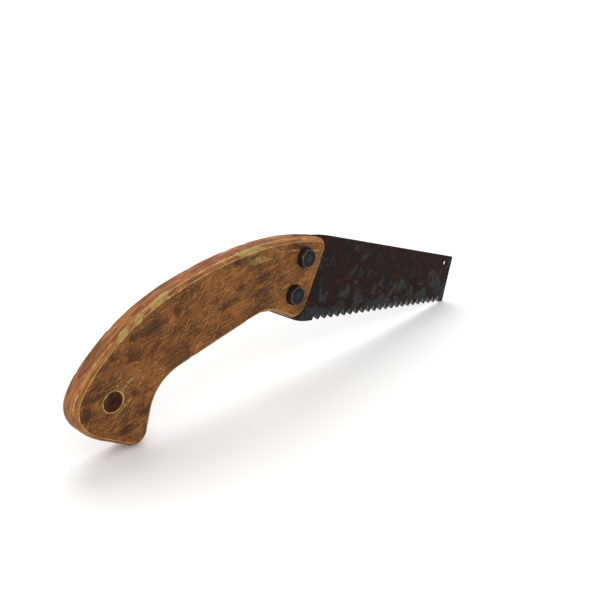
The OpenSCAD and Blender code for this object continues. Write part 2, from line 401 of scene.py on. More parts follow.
def stretched(tree, where, turn, scale):
    """Coordinates turned about the saw's thickness, then scaled, for streaks."""
    return add(tree, "ShaderNodeMapping", {"Vector": add(
        tree, "ShaderNodeMapping", {"Vector": where, "Rotation": (0, turn, 0)}).outputs[0],
        "Scale": scale}).outputs[0]


def node_group(name, inputs, outputs):
    """An empty shader group with its sockets; gives the group, its input node and its output node."""
    group = bpy.data.node_groups.new(name, "ShaderNodeTree")
    for socket, kind, value in inputs:
        made = group.interface.new_socket(name=socket, in_out="INPUT", socket_type="NodeSocket" + kind)
        if value is not None:
            made.default_value = value
    for socket, kind in outputs:
        group.interface.new_socket(name=socket, in_out="OUTPUT", socket_type="NodeSocket" + kind)
    return group, group.nodes.new("NodeGroupInput"), group.nodes.new("NodeGroupOutput")


def use(tree, group, inputs):
    """A node that places the group in a material."""
    return add(tree, "ShaderNodeGroup", inputs, node_tree=group)


def new_material(name):
    """A material with its node tree emptied; gives the material, its tree and its Principled node."""
    material = bpy.data.materials.new(name)
    material.use_nodes = True
    tree = material.node_tree
    tree.nodes.clear()
    shader = tree.nodes.new("ShaderNodeBsdfPrincipled")
    tree.links.new(shader.outputs[0], tree.nodes.new("ShaderNodeOutputMaterial").inputs[0])
    return material, tree, shader


# Wear along an edge: all within a width of the edge that comes and goes along it
edge_wear_group, came, gone = node_group(
    "edge_wear", [("Vector", "Vector", None), ("Distance", "Float", 9.0), ("Width", "Float", 0.5),
                  ("Breaks", "Float", 0.5)], [("Mask", "Float")])
t = edge_wear_group
slow = speckle(t, came.outputs[0], 95, 3, 0.6)
fine = speckle(t, came.outputs[0], 900, 2, 0.7)
reach = times(t, came.outputs[2], calc(
    t, "ADD", 1.0, times(t, came.outputs[3], calc(t, "MULTIPLY_ADD", slow, 5.0, -2.5))))
reach = times(t, reach, ramp(t, fine, 0.25, 0.75, 0.6, 1.3))
t.links.new(ramp(t, calc(t, "SUBTRACT", reach, came.outputs[1]), -0.12, 0.14), gone.inputs[0])

# One mark: a stroke, patch or stain of a given place, turn and half size, with ragged edges
mark_group, came, gone = node_group(
    "mark", [("Vector", "Vector", None), ("Centre", "Vector", None), ("Turn", "Float", 0.0),
             ("Half Size", "Vector", None), ("Ragged", "Float", 0.5), ("Soft", "Float", 0.1)],
    [("Mask", "Float")])
t = mark_group
local = vector_calc(t, "SUBTRACT", came.outputs[0], came.outputs[1])
local = add(t, "ShaderNodeVectorRotate", {"Vector": local, "Angle": came.outputs[2]},
            rotation_type="Y_AXIS").outputs[0]
local = vector_calc(t, "DIVIDE", local, came.outputs[3])
far_out = add(t, "ShaderNodeVectorMath", {0: local}, operation="LENGTH").outputs["Value"]
rough_edge = calc(t, "SUBTRACT", speckle(t, came.outputs[0], 260, 4, 0.65), 0.5)
far_out = calc(t, "MULTIPLY_ADD", rough_edge, times(t, came.outputs[4], 3.0), far_out)
t.links.new(calc(t, "SUBTRACT", 1.0, ramp(t, calc(t, "SUBTRACT", far_out, 1.0),
                                            times(t, came.outputs[5], -1.0),
                                            came.outputs[5])), gone.inputs[0])

# Grain: streaks along the vector's X, fine ones over broad ones
grain_group, came, gone = node_group(
    "grain", [("Vector", "Vector", None)], [("Fine", "Float"), ("Broad", "Float")])
t = grain_group
for k, (long, across, detail) in enumerate(((75, 900, 3), (30, 260, 3))):
    along = add(t, "ShaderNodeMapping", {
        "Vector": came.outputs[0], "Scale": (long, across, across)}).outputs[0]
    t.links.new(speckle(t, along, 1.0, detail, 0.62, 0.4), gone.inputs[k])

# x, z, half length, half width, turn of each mark on the heads' side, millimetres and degrees
WORN_STROKES = (
    (4.8, 10.9, 4.6, 0.75, 34), (15.2, 11.4, 9.6, 1.5, 33), (22.2, 6.8, 4.6, 0.65, 47),
    (10.3, -4.5, 4.8, 1.4, 33), (2.6, -9.9, 4.4, 0.8, 32), (19.5, 22.3, 3.4, 0.6, -24),
    (131.5, 66.4, 8.2, 2.7, -2), (142.0, 65.0, 4.6, 0.9, -8), (153.3, 68.1, 5.0, 0.7, -10),
    (193.5, 59.2, 4.2, 0.7, -12), (168.6, 65.4, 6.0, 0.7, -9), (160.2, 38.2, 4.4, 1.8, 12),
    (172.4, 36.9, 6.2, 0.7, -15), (164.1, 20.8, 3.0, 0.8, -24))
WORN_CHAMFERS = (
    (44.9, 61.2, 8.6, 2.1, 27), (25.6, 52.2, 4.4, 2.0, 34), (13.0, 44.6, 6.0, 1.7, 42),
    (125.3, 75.6, 13.5, 2.4, 1), (181.0, 71.2, 3.0, 0.9, -10), (-9.5, 31.5, 2.4, 1.8, 55))
DARK_STAINS = (
    (19.7, 28.1, 6.6, 5.2, 0), (20.0, 40.9, 3.9, 3.2, -18), (17.7, 0.6, 3.4, 2.8, -21),
    (-14.0, 8.2, 9.5, 2.6, 8), (22.6, -14.6, 6.8, 4.0, -20), (56.5, 48.4, 3.0, 4.4, 25),
    (32.4, 43.0, 8.6, 4.4, 12), (45.5, 44.7, 3.4, 2.2, 7), (69.2, 61.1, 1.0, 0.9, 0),
    (170.9, 67.8, 7.4, 2.7, -8), (111.7, 69.4, 4.0, 2.3, -20), (137.1, 52.2, 7.2, 3.6, 14),
    (113.3, 49.6, 5.0, 2.4, 10), (134.4, 40.5, 8.4, 3.6, 12), (100.0, 40.0, 9.0, 3.0, 12),
    (-20.0, -2.0, 5.0, 6.0, 0), (8.0, -24.0, 9.0, 2.6, 10))


def marks(tree, where, listed, y, reach, ragged, soft):
    """All of the listed marks in one mask, on the face at y."""
    total = None
    for x, z, long, wide, turn in listed:
        mask = use(tree, mark_group, {
            "Vector": where, "Centre": (x * MM, y, z * MM), "Turn": math.radians(turn),
            "Half Size": (long * MM, reach, wide * MM), "Ragged": ragged, "Soft": soft}).outputs[0]
        total = mask if total is None else calc(tree, "MAXIMUM", total, mask)
    return total


def wood_colours(tree, where, flow, painted_shade):
    """Base colour and streak height of the board: oiled tone, then streaks, scratches and mottling, then a
    painted shade by the given share.
    """
    grain = use(tree, grain_group, {"Vector": flow})
    cloud = speckle(tree, where, 42, 5, 0.62, 0.6)
    mottle = speckle(tree, where, 210, 5, 0.7, 0.3)
    tone = blend(tree, ramp(tree, cloud, 0.36, 0.5), paint(84, 54, 27), paint(118, 75, 37))
    tone = blend(tree, ramp(tree, cloud, 0.5, 0.68), tone, paint(152, 96, 47))
    tone = blend(tree, ramp(tree, grain.outputs["Broad"], 0.52, 0.72, 0, 0.55), tone, paint(76, 47, 25))
    tone = blend(tree, ramp(tree, grain.outputs["Broad"], 0.48, 0.3, 0, 0.45), tone, paint(134, 76, 38))
    tone = blend(tree, ramp(tree, grain.outputs["Fine"], 0.5, 0.72, 0, 0.8), tone, paint(64, 38, 21))
    tone = blend(tree, ramp(tree, grain.outputs["Fine"], 0.5, 0.3, 0, 0.5), tone, paint(178, 114, 57))
    tone = blend(tree, ramp(tree, mottle, 0.55, 0.72, 0, 0.6), tone, paint(80, 50, 26))
    tone = blend(tree, ramp(tree, mottle, 0.42, 0.28, 0, 0.4), tone, paint(172, 112, 56))
    scratch = speckle(tree, stretched(tree, where, math.radians(52), (110, 400, 900)), 1.0, 3, 0.65)
    across = speckle(tree, stretched(tree, where, math.radians(-34), (130, 400, 1000)), 1.0, 3, 0.65)
    tone = blend(tree, ramp(tree, scratch, 0.55, 0.7, 0, 0.75), tone, paint(56, 33, 18))
    tone = blend(tree, ramp(tree, across, 0.56, 0.7, 0, 0.7), tone, paint(58, 36, 20))
    tone = blend(tree, ramp(tree, scratch, 0.44, 0.3, 0, 0.6), tone, paint(184, 122, 60))
    grit = speckle(tree, where, 760, 4, 0.7)
    tone = blend(tree, ramp(tree, grit, 0.52, 0.68, 0, 0.6), tone, paint(52, 32, 18))
    tone = blend(tree, ramp(tree, grit, 0.46, 0.32, 0, 0.5), tone, paint(190, 128, 66))
    # Painted shade: the whole tone darkened by the given share
    tone = blend(tree, painted_shade, tone, paint(58, 33, 20))
    return tone, grain, mottle, scratch


GRAIN_TURN = math.radians(11)
wood, t, shader = new_material("oiled_wood")
place = add(t, "ShaderNodeTexCoord")
where = place.outputs["Object"]
edge = stored(t, "edge")
side = stored(t, "side")
bore = stored(t, "bore")
along = vector_calc(t, "MULTIPLY", place.outputs["UV"], (1, 1, 1))
board = stretched(t, where, GRAIN_TURN, (1, 1, 1))
flow = add(t, "ShaderNodeMix", {0: side, 4: board, 5: along}, data_type="VECTOR").outputs[1]
tone, grain, mottle, scratch = wood_colours(t, where, flow, 0.0)

# The edge grain of the sides and chamfers is redder, with purple-brown blotches, and painted lighter than the
# faces as painted light falling from above
blotch_flow = add(t, "ShaderNodeMapping", {"Vector": along, "Scale": (60, 150, 1)}).outputs[0]
blotch = speckle(t, blotch_flow, 1.0, 4, 0.6, 0.5)
side_grain_and_light_tone = blend(t, ramp(t, grain.outputs["Broad"], 0.4, 0.6), paint(172, 112, 64), paint(130, 82, 48))
side_grain_and_light_tone = blend(t, ramp(t, grain.outputs["Fine"], 0.48, 0.68, 0, 0.7), side_grain_and_light_tone, paint(104, 60, 36))
side_grain_and_light_tone = blend(t, ramp(t, blotch, 0.5, 0.62, 0, 0.8), side_grain_and_light_tone, paint(112, 64, 42))
side_grain_and_light_tone = blend(t, ramp(t, mottle, 0.44, 0.3, 0, 0.45), side_grain_and_light_tone, paint(208, 142, 82))
# Painted light: the sides and chamfers take the lighter tone
colour = blend(t, side, tone, side_grain_and_light_tone)

# Dark stains, broad and hand-sized first, then the single blotches
grime = speckle(t, where, 26, 6, 0.66, 0.5)
colour = blend(t, times(t, ramp(t, grime, 0.52, 0.66, 0, 0.6), ramp(t, side, 0, 1, 1, 0.4)),
               colour, paint(70, 42, 26))
stain = marks(t, where, DARK_STAINS, -HALF_T, 5 * MM, 0.85, 0.4)
colour = blend(t, times(t, stain, ramp(t, mottle, 0.3, 0.6, 0.45, 0.8)), colour, paint(60, 37, 22))

# Bare khaki wood: along every edge, in strokes on the face and in patches on the chamfer
long_edge = use(t, edge_wear_group, {"Vector": where, "Distance": edge, "Width": 0.42,
                                     "Breaks": 0.5}).outputs[0]
strokes = marks(t, where, WORN_STROKES, -HALF_T, 4 * MM, 0.35, 0.16)
patches = marks(t, where, WORN_CHAMFERS, -HALF_T + CHAMFER / 2, 3.4 * MM, 0.85, 0.2)
far_marks = marks(t, where, ((60, 45, 11, 1.3, 20), (9, 16, 7, 1.1, 40), (150, 60, 9, 2.2, -5),
                             (95, 64, 6, 3, 10), (14, -9, 6, 0.9, 30), (120, 34, 8, 0.9, 14)),
                  HALF_T, 4 * MM, 0.4, 0.16)
specks = ramp(t, speckle(t, where, 520, 1, 0.4), 0.74, 0.8)
rub_flow = stretched(t, where, math.radians(-35), (260, 500, 900))
rubbed = ramp(t, speckle(t, rub_flow, 1.0, 3, 0.6), 0.4, 0.56, 1, 0.25)
scuffs = times(t, times(t, calc(t, "MAXIMUM", strokes, far_marks), 0.85), rubbed)
bare = calc(t, "MAXIMUM", times(t, long_edge, ramp(t, mottle, 0.36, 0.6, 0.95, 0.4)),
              calc(t, "MAXIMUM", scuffs, times(t, specks, 0.6)))
bare = calc(t, "MAXIMUM", bare, times(t, patches, ramp(t, rubbed, 0.25, 1, 0.7, 0.95)))
ends = add(t, "ShaderNodeSeparateXYZ", {0: where}).outputs
# Bare wood on the sides and chamfers is painted lighter too, as painted light from above
khaki = blend(t, side, paint(152, 130, 74), paint(212, 182, 108))
khaki = blend(t, long_edge, khaki, paint(204, 174, 98))
khaki = blend(t, times(t, patches, ramp(t, long_edge, 0, 1, 1, 0)), khaki, paint(166, 144, 84))
khaki = blend(t, ramp(t, ends[0], 0.14, 0.19), khaki, paint(200, 140, 78))
khaki = blend(t, ramp(t, grain.outputs["Fine"], 0.45, 0.7, 0, 0.5), khaki, paint(128, 100, 58))
colour = blend(t, bare, colour, khaki)

# The hang hole's wall is painted dark as painted shade, at full strength away from the rims, over a reddish
# wood tone
colour = blend(t, times(t, bore, ramp(t, edge, 0.3, 0.7)), colour,
               blend(t, ramp(t, mottle, 0.4, 0.6), paint(64, 30, 14), paint(104, 52, 24)))
t.links.new(colour, shader.inputs["Base Color"])
dull = plus(t, ramp(t, grain.outputs["Fine"], 0.3, 0.7, 0.5, 0.7), ramp(t, bare, 0, 1, 0, 0.12))
t.links.new(dull, shader.inputs["Roughness"])
shader.inputs["Specular IOR Level"].default_value = 0.12
height = plus(t, times(t, grain.outputs["Fine"], -0.6),
                plus(t, times(t, mottle, -0.5), times(t, scratch, -0.5)))
bumped(t, shader, 0.55, 0.0006, height)

sawn, t, shader = new_material("sawn_slot_wood")
where = add(t, "ShaderNodeTexCoord").outputs["Object"]
# The slot's wood takes a painted shade of 0.35, for the shade inside the narrow slot
tone, grain, mottle, scratch = wood_colours(t, where, stretched(t, where, GRAIN_TURN, (1, 1, 1)), 0.35)
kerf_lines = add(t, "ShaderNodeTexWave", {"Vector": where, "Scale": 420.0, "Distortion": 2.5, "Detail": 2.0},
                 bands_direction="X").outputs["Fac"]
t.links.new(blend(t, ramp(t, kerf_lines, 0.3, 0.9, 0, 0.45), tone, paint(46, 26, 16)),
            shader.inputs["Base Color"])
t.links.new(ramp(t, mottle, 0.3, 0.7, 0.75, 0.95), shader.inputs["Roughness"])
bumped(t, shader, 0.6, 0.0002, kerf_lines)

handle.data.materials.append(wood)
slot_cut.data.materials.append(sawn)
sawing = handle.modifiers.new("slot", "BOOLEAN")
sawing.object, sawing.solver, sawing.material_mode = slot_cut, "EXACT", "TRANSFER"
plain_mesh(handle, "handle_wood")
bpy.data.objects.remove(slot_cut)
handle.data.set_sharp_from_angle(angle=math.radians(50))

# How far each point is from a worn edge, in millimetres, and whether it is on a side or in a bore
spots = np.array([v.co for v in handle.data.vertices])
across = np.abs(spots[:, 1])
inset = np.array([near.find((p[0], 0, p[2]))[2] for p in spots])
inset = np.where(inset < 0.45 * column, 0, inset)
from_hole = np.hypot(spots[:, 0], spots[:, 2])
slot_edges = kdtree.KDTree(len(spots))
for k in np.nonzero((np.abs(across - slot_half) < 1e-6) & (inset < 0.3 * MM))[0]:
    slot_edges.insert(spots[k], int(k))
slot_edges.balance()
from_slot = np.array([slot_edges.find(p)[2] if a < 3 * MM and d < 3 * MM else 1.0
                      for p, a, d in zip(spots, across, inset)])
from_slot = np.where(spots[:, 0] > 0.16, from_slot, 1.0)
edge_near = np.minimum.reduce([np.hypot(inset, across - side_y), np.hypot(inset - CHAMFER, across - HALF_T),
                               np.hypot(from_hole - HANG_R, across - HALF_T) * 0.4, from_slot])
for name, values in (("edge", np.minimum(edge_near / MM, 5)),
                     ("side", np.clip((HALF_T - across) / (0.5 * MM), 0, 1) * (inset < 3.4 * MM)),
                     ("bore", np.clip((HANG_R + 0.5 * MM - from_hole) / (0.5 * MM), 0, 1))):
    handle.data.attributes.new(name, "FLOAT", "POINT").data.foreach_set("value", values.astype(np.float32))
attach(handle, "handle_body")
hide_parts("handle")

# --- Bolts, washers and nuts ------------------------------------------------------------------
# Two black steel hexagon bolts hold the blade: the lower one is its pivot, the upper one its stop.
# Heads, washers, spring washers and nuts are blued steel gone dull, rusty red on the flats and worn bright
# along the edges, the heads' bright edges partly painted highlight; a worn ring and a sunk disc are left in
# the face of each head, with painted shade in its grooves and a band round the crown painted lighter as
# painted light.
AF = 14 * MM
FACE_R = 0.97 * AF / 2
BOLT_R = 4 * MM
AROUND = 120


def hexagon(turn, angle, size=1.0, corner=0.35 * MM):
    """How far out the hexagon lies in a direction, its corners a little rounded."""
    away = (angle - turn + math.pi / 6) % (math.pi / 3) - math.pi / 6
    flat_r = AF / 2 / math.cos(math.pi / 6 - abs(away))
    return size * (flat_r - corner * math.exp(-(away / 0.09) ** 2))


def ring_row(centre, y, reach):
    """A ring of points at y about a bolt's axis; reach is a radius or a rule that gives one."""
    turns = [2 * math.pi * k / AROUND for k in range(AROUND)]
    return [(centre[0] + r * math.cos(a), y if not callable(y) else y(a, r), centre[1] + r * math.sin(a))
            for a in turns for r in [reach(a) if callable(reach) else reach]]


def hex_rows(centre, turn, base, up, height, both_ends):
    """Rows from the inner face, up the flats to the crown's edge; up is the way that the head points."""
    slope = math.tan(math.radians(30))

    def top(r):
        return height - max(0, r - FACE_R) * slope

    def low(r):
        return max(0, r - FACE_R) * slope if both_ends else 0

    def row(size, lift):
        return ring_row(centre, lambda a, r: base + up * lift(a, r / size), lambda a: hexagon(turn, a, size))

    return [row(0.985, lambda a, r: low(r) - (0.04 * MM if both_ends else 0) + 0.04 * MM),
            row(1.0, lambda a, r: low(r) + 0.14 * MM),
            row(1.0, lambda a, r: low(r) + 0.4 * MM),
            row(1.0, lambda a, r: top(r) - 0.5 * MM),
            row(1.0, lambda a, r: top(r) - 0.14 * MM),
            row(0.988, lambda a, r: top(r) - 0.02 * MM),
            row(0.965, lambda a, r: top(r))]


def bolt_piece(node, centre, turn):
    low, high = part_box(node)
    washer_low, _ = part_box(node.replace("bolt", "head_washer"))
    base, height = washer_low.y, washer_low.y - low.y
    rows = hex_rows(centre, turn, base, -1, height, False)
    wear = [0.2, 0.1, 0, 0, 0.72, 1, 0.4]
    # Rings of the head's face: radius and sink in millimetres, and the share of bright colour. The outer
    # band's share is painted light, the inner ring's share is wear, and the grooves' shares below zero are
    # painted shade.
    face = [(6.72, 0.02, 0.38), (6.5, 0.0, 0.35), (5.9, 0.0, 0.3), (5.6, 0.02, 0.1), (5.4, 0.2, -0.9),
            (4.85, 0.27, -1.0), (4.65, 0.05, -0.6), (4.5, 0.0, 0.35), (4.0, 0.0, 0.45), (3.8, 0.03, 0.1),
            (3.65, 0.18, -0.9), (3.1, 0.2, -0.9), (2.95, 0.12, 0.0), (1.6, 0.08, 0.05), (0.5, 0.08, 0.05)]
    rows += [ring_row(centre, low.y + dip * MM, r * MM) for r, dip, _ in face]
    wear += [w for *_, w in face]
    under = [ring_row(centre, base, 0.97 * AF / 2), ring_row(centre, base, BOLT_R)]
    shank = [ring_row(centre, y, r) for y, r in (
        (high.y - 9 * MM, BOLT_R), (high.y - 8.6 * MM, BOLT_R - 0.62 * MM),
        (high.y - 0.7 * MM, BOLT_R - 0.62 * MM), (high.y - 0.06 * MM, BOLT_R - 1.0 * MM),
        (high.y, BOLT_R - 1.15 * MM))]
    bm = bmesh.new()
    verts = skin(bm, shank[::-1] + under[::-1] + rows, wear=[0.6, 0.8, 0.2, 0, 0, 0, 0] + wear)
    bm.faces.new(verts[0][::-1])
    bm.faces.new(verts[-1])
    return finished(bm, node, 28)


def nut_piece(node, centre, turn):
    low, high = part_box(node)
    height = high.y - low.y
    rows = hex_rows(centre, turn, low.y, 1, height, True)
    bore = [(BORE_R + 0.5 * MM, high.y), (BORE_R, high.y - 0.45 * MM), (BORE_R, low.y + 0.45 * MM),
            (BORE_R + 0.5 * MM, low.y)]
    rows += [ring_row(centre, high.y, FACE_R), ring_row(centre, high.y, FACE_R - 0.5 * MM)]
    rows += [ring_row(centre, y, r) for r, y in bore]
    rows += [ring_row(centre, low.y, FACE_R - 0.5 * MM), ring_row(centre, low.y, FACE_R)]
    bm = bmesh.new()
    skin(bm, rows, joined=True, wear=[0.8, 0.6, 0, 0, 0.72, 1, 0.3, 0.3, 0.2, 0.7, 0, 0, 0.2, 0, 0])
    return finished(bm, node, 28)


def washer_piece(node, centre):
    low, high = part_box(node)
    outer, lip = (high.x - low.x) / 2, 0.14 * MM
    line = [(outer, low.y + lip), (outer, high.y - lip), (outer - lip, high.y), (outer - 3 * lip, high.y),
            (BORE_R + lip, high.y), (BORE_R, high.y - lip), (BORE_R, low.y + lip),
            (BORE_R + lip, low.y), (outer - 3 * lip, low.y), (outer - lip, low.y)]
    bm = bmesh.new()
    skin(bm, [ring_row(centre, y, r) for r, y in line], joined=True,
         wear=[0.5, 0.5, 0.4, 0, 0, 0, 0, 0, 0, 0.3])
    return finished(bm, node, 28)


def spring_washer_piece(node, centre):
    """A square wire coiled almost once round, its ends cut on a slant."""
    low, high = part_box(node)
    outer, cut, lip = (high.x - low.x) / 2, 0.1, 0.15 * MM
    thick = high.y - low.y
    line = [(BORE_R, low.y + lip), (BORE_R + lip, low.y), (outer - lip, low.y), (outer, low.y + lip),
            (outer, high.y - lip), (outer - lip, high.y), (BORE_R + lip, high.y), (BORE_R, high.y - lip)]
    bm = bmesh.new()
    steps = 72
    sections = []
    for k in range(steps + 1):
        share = k / steps
        section = []
        for r, y in line:
            slant = 0.11 * ((y - low.y) / thick - 0.5)
            angle = math.pi / 2 + cut + slant + share * (2 * math.pi - 2 * cut)
            section.append((centre[0] + r * math.cos(angle), y, centre[1] + r * math.sin(angle)))
        sections.append(section)
    verts = skin(bm, sections, wear=[0.8] + [0] * (steps - 1) + [0.8])
    bm.faces.new(verts[0][::-1])
    bm.faces.new(verts[-1])
    return finished(bm, node, 28)


def face_on(tree):
    """How squarely the surface faces along the saw's thickness, either way."""
    normal = add(tree, "ShaderNodeNewGeometry").outputs["True Normal"]
    return calc(tree, "ABSOLUTE", add(tree, "ShaderNodeSeparateXYZ", {0: normal}).outputs[1])


dark_steel, t, shader = new_material("blued_bolt_steel")
where = add(t, "ShaderNodeTexCoord").outputs["Object"]
worn = stored(t, "worn")
flank = ramp(t, face_on(t), 0.3, 0.6, 1, 0)
cloud = speckle(t, where, 420, 5, 0.65, 0.4)
grit = speckle(t, where, 1900, 3, 0.6)
colour = blend(t, ramp(t, cloud, 0.4, 0.62), paint(42, 41, 43), paint(56, 56, 58))
rust = blend(t, ramp(t, grit, 0.35, 0.65), paint(42, 26, 22), paint(60, 38, 31))
colour = blend(t, times(t, flank, ramp(t, cloud, 0.36, 0.5, 0.35, 1)), colour, rust)
colour = blend(t, times(t, ramp(t, cloud, 0.6, 0.7), 0.6), colour, rust)
# Painted shade: the head's grooves are darkened to near black
colour = blend(t, ramp(t, worn, -0.1, -0.7), colour, paint(16, 15, 16))
# Bright colour along the crown's edges and on its band, partly worn steel and partly painted highlight
bright = use(t, edge_wear_group, {"Vector": where, "Distance": calc(t, "SUBTRACT", 1.0, worn),
                                  "Width": 0.42, "Breaks": 0.45}).outputs[0]
colour = blend(t, times(t, bright, 0.62), colour, paint(130, 131, 134))
t.links.new(colour, shader.inputs["Base Color"])
t.links.new(ramp(t, flank, 0, 1, 0.75, 0.25), shader.inputs["Metallic"])
t.links.new(plus(t, ramp(t, cloud, 0.3, 0.7, 0.42, 0.6), times(t, flank, 0.2)),
            shader.inputs["Roughness"])
bumped(t, shader, 0.5, 0.0002, plus(t, cloud, times(t, grit, 0.4)))
shader.inputs["Specular IOR Level"].default_value = 0.15

black_steel, t, shader = new_material("black_washer_steel")
where = add(t, "ShaderNodeTexCoord").outputs["Object"]
worn = stored(t, "worn")
cloud = speckle(t, where, 500, 5, 0.65, 0.4)
colour = blend(t, ramp(t, cloud, 0.42, 0.66), paint(20, 18, 18), paint(48, 30, 22))
bright = use(t, edge_wear_group, {"Vector": where, "Distance": calc(t, "SUBTRACT", 1.0, worn),
                                  "Width": 0.45, "Breaks": 0.6}).outputs[0]
colour = blend(t, times(t, bright, 0.5), colour, paint(96, 92, 90))
t.links.new(colour, shader.inputs["Base Color"])
shader.inputs["Metallic"].default_value = 0.4
t.links.new(ramp(t, cloud, 0.3, 0.7, 0.5, 0.75), shader.inputs["Roughness"])
bumped(t, shader, 0.5, 0.0002, cloud)
shader.inputs["Specular IOR Level"].default_value = 0.15

TURNS = {"pivot": math.radians(24), "stop": math.radians(36)}
for bolt, centre in (("pivot", pivot), ("stop", stop)):
    other = TURNS["stop" if bolt == "pivot" else "pivot"]
    for piece, node, finish, slot_name in (
            (bolt_piece(bolt + "_bolt", centre, TURNS[bolt]), bolt + "_bolt", dark_steel, "bolt_steel"),
            (nut_piece(bolt + "_nut", centre, other), bolt + "_nut", dark_steel, "bolt_steel"),
            (washer_piece(bolt + "_head_washer", centre), bolt + "_head_washer", black_steel, "washer_steel"),
            (washer_piece(bolt + "_nut_washer", centre), bolt + "_nut_washer", black_steel, "washer_steel"),
            (spring_washer_piece(bolt + "_lock_washer", centre), bolt + "_lock_washer", black_steel,
             "lock_washer_steel")):
        piece.name = node + "_made"
        piece.data.materials.append(finish)
        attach(piece, "handle_body")
        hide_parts(node)


def geometry_group(name, inputs):
    """An empty geometry group: the group, its input and output nodes, and what its inputs are called."""
    group = bpy.data.node_groups.new(name, "GeometryNodeTree")
    sockets = {socket: group.interface.new_socket(
        name=socket, in_out="INPUT", socket_type="NodeSocket" + kind).identifier
        for socket, kind in inputs}
    group.interface.new_socket(name="Geometry", in_out="OUTPUT", socket_type="NodeSocketGeometry")
    return group, group.nodes.new("NodeGroupInput"), group.nodes.new("NodeGroupOutput"), sockets


def dress(group, geometry, came, gone):
    """Ends a geometry group: its geometry is given the finish and sent out."""
    group.links.new(add(group, "GeometryNodeSetMaterial", {
        "Geometry": geometry, "Material": came.outputs["Finish"]}).outputs[0], gone.inputs[0])


def grown(name, group, sockets, values):
    """The piece that a geometry group makes from these values, as a plain mesh."""
    piece = in_scene(name, bpy.data.meshes.new(name))
    making = piece.modifiers.new(name, "NODES")
    making.node_group = group
    for socket, value in values.items():
        making[sockets[socket]] = value
    return plain_mesh(piece, name)


# The thread that stands out of each nut: one ridge of steel for each turn
RIDGES = 6
RIDGES_FROM_END = 7.2 * MM
ridge_mesh = bmesh.new()
depth, pitch = 0.66 * MM, 1.25 * MM
skin(ridge_mesh, [[(x, y, z) for x, z in circle((0, 0), r, 48)]
                  for r, y in ((BOLT_R - depth, -0.42 * pitch), (BOLT_R - 0.05 * MM, -0.08 * pitch),
                               (BOLT_R - 0.05 * MM, 0.08 * pitch), (BOLT_R - depth, 0.42 * pitch),
                               (BOLT_R - depth - 0.2 * MM, 0))], joined=True)
ridge = finished(ridge_mesh, "ridge", 28)

threads, came, gone, sockets = geometry_group("thread_ridges", (
    ("Ridge", "Object"), ("Turns", "Int"), ("Pitch", "Float"), ("Lower Bolt", "Vector"),
    ("Upper Bolt", "Vector"), ("Finish", "Material")))
step = add(threads, "ShaderNodeCombineXYZ", {1: came.outputs["Pitch"]}).outputs[0]
shape = add(threads, "GeometryNodeObjectInfo", {"Object": came.outputs["Ridge"]}).outputs["Geometry"]
both = threads.nodes.new("GeometryNodeJoinGeometry")
for name in ("Upper Bolt", "Lower Bolt"):
    line = add(threads, "GeometryNodeMeshLine", {"Count": came.outputs["Turns"], "Offset": step,
                                                 "Start Location": came.outputs[name]}).outputs[0]
    rings = add(threads, "GeometryNodeInstanceOnPoints", {"Points": line, "Instance": shape}).outputs[0]
    threads.links.new(rings, both.inputs[0])
real = add(threads, "GeometryNodeRealizeInstances", {0: both.outputs[0]}).outputs[0]
dress(threads, real, came, gone)

ridge_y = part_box("pivot_bolt")[1].y - RIDGES_FROM_END
thread = grown("bolt_threads", threads, sockets, {
    "Ridge": ridge, "Turns": RIDGES, "Pitch": pitch, "Finish": dark_steel,
    "Lower Bolt": (pivot[0], ridge_y, pivot[1]), "Upper Bolt": (stop[0], ridge_y, stop[1])})
bpy.data.objects.remove(ridge)
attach(thread, "handle_body")

# --- Blade ------------------------------------------------------------------------------------
# One plate of spring steel with a round tang, a notch that the stop bolt sits in and a small hole at
# the end. It is brown-black with rust, and scoured to bare grey in patches, most of all by the teeth.
BLADE_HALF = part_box("blade")[1].y
SLOPE = math.radians(11.3)
PITCH = 8.47 * MM
TOOTH_H = 4.7 * MM
GULLET_LINE = -22.9 * MM
FIRST_GULLET = 38 * MM
HEEL_END = 35.2 * MM
BAND = 3.4 * MM
EDGE_BREAK = 0.16 * MM


def to_blade(p):
    """A point's place along the tooth line and away from it, from the pivot."""
    dx, dz = p[0] - pivot[0], p[1] - pivot[1]
    return (dx * math.cos(SLOPE) - dz * math.sin(SLOPE), dx * math.sin(SLOPE) + dz * math.cos(SLOPE))


def from_blade(p):
    return (pivot[0] + p[0] * math.cos(SLOPE) + p[1] * math.sin(SLOPE),
            pivot[1] - p[0] * math.sin(SLOPE) + p[1] * math.cos(SLOPE))


def drawn_in(ring, by):
    """The ring moved sideways by so much, to the right of the way that it runs."""
    out = []
    for k, p in enumerate(ring):
        a = (Vector(p) - Vector(ring[k - 1])).normalized()
        b = (Vector(ring[(k + 1) % len(ring)]) - Vector(p)).normalized()
        side_way = Vector((a.y + b.y, -a.x - b.x)).normalized()
        share = max(0.5, side_way.dot(Vector((a.y, -a.x))))
        out.append(tuple(Vector(p) + side_way * by / share))
    return out


def runs_clockwise(ring):
    return sum(a[0] * b[1] - b[0] * a[1] for a, b in zip(ring, ring[1:] + ring[:1])) < 0


cad = merged_copy("blade")
front = [f for f in cad.faces if f.normal.y < -0.99]
border = [e for e in cad.edges if sum(f in front for f in e.link_faces) == 1]
rings = [[(p.x, p.z) for p in ring] for ring in loops_of(border)]
cad.free()
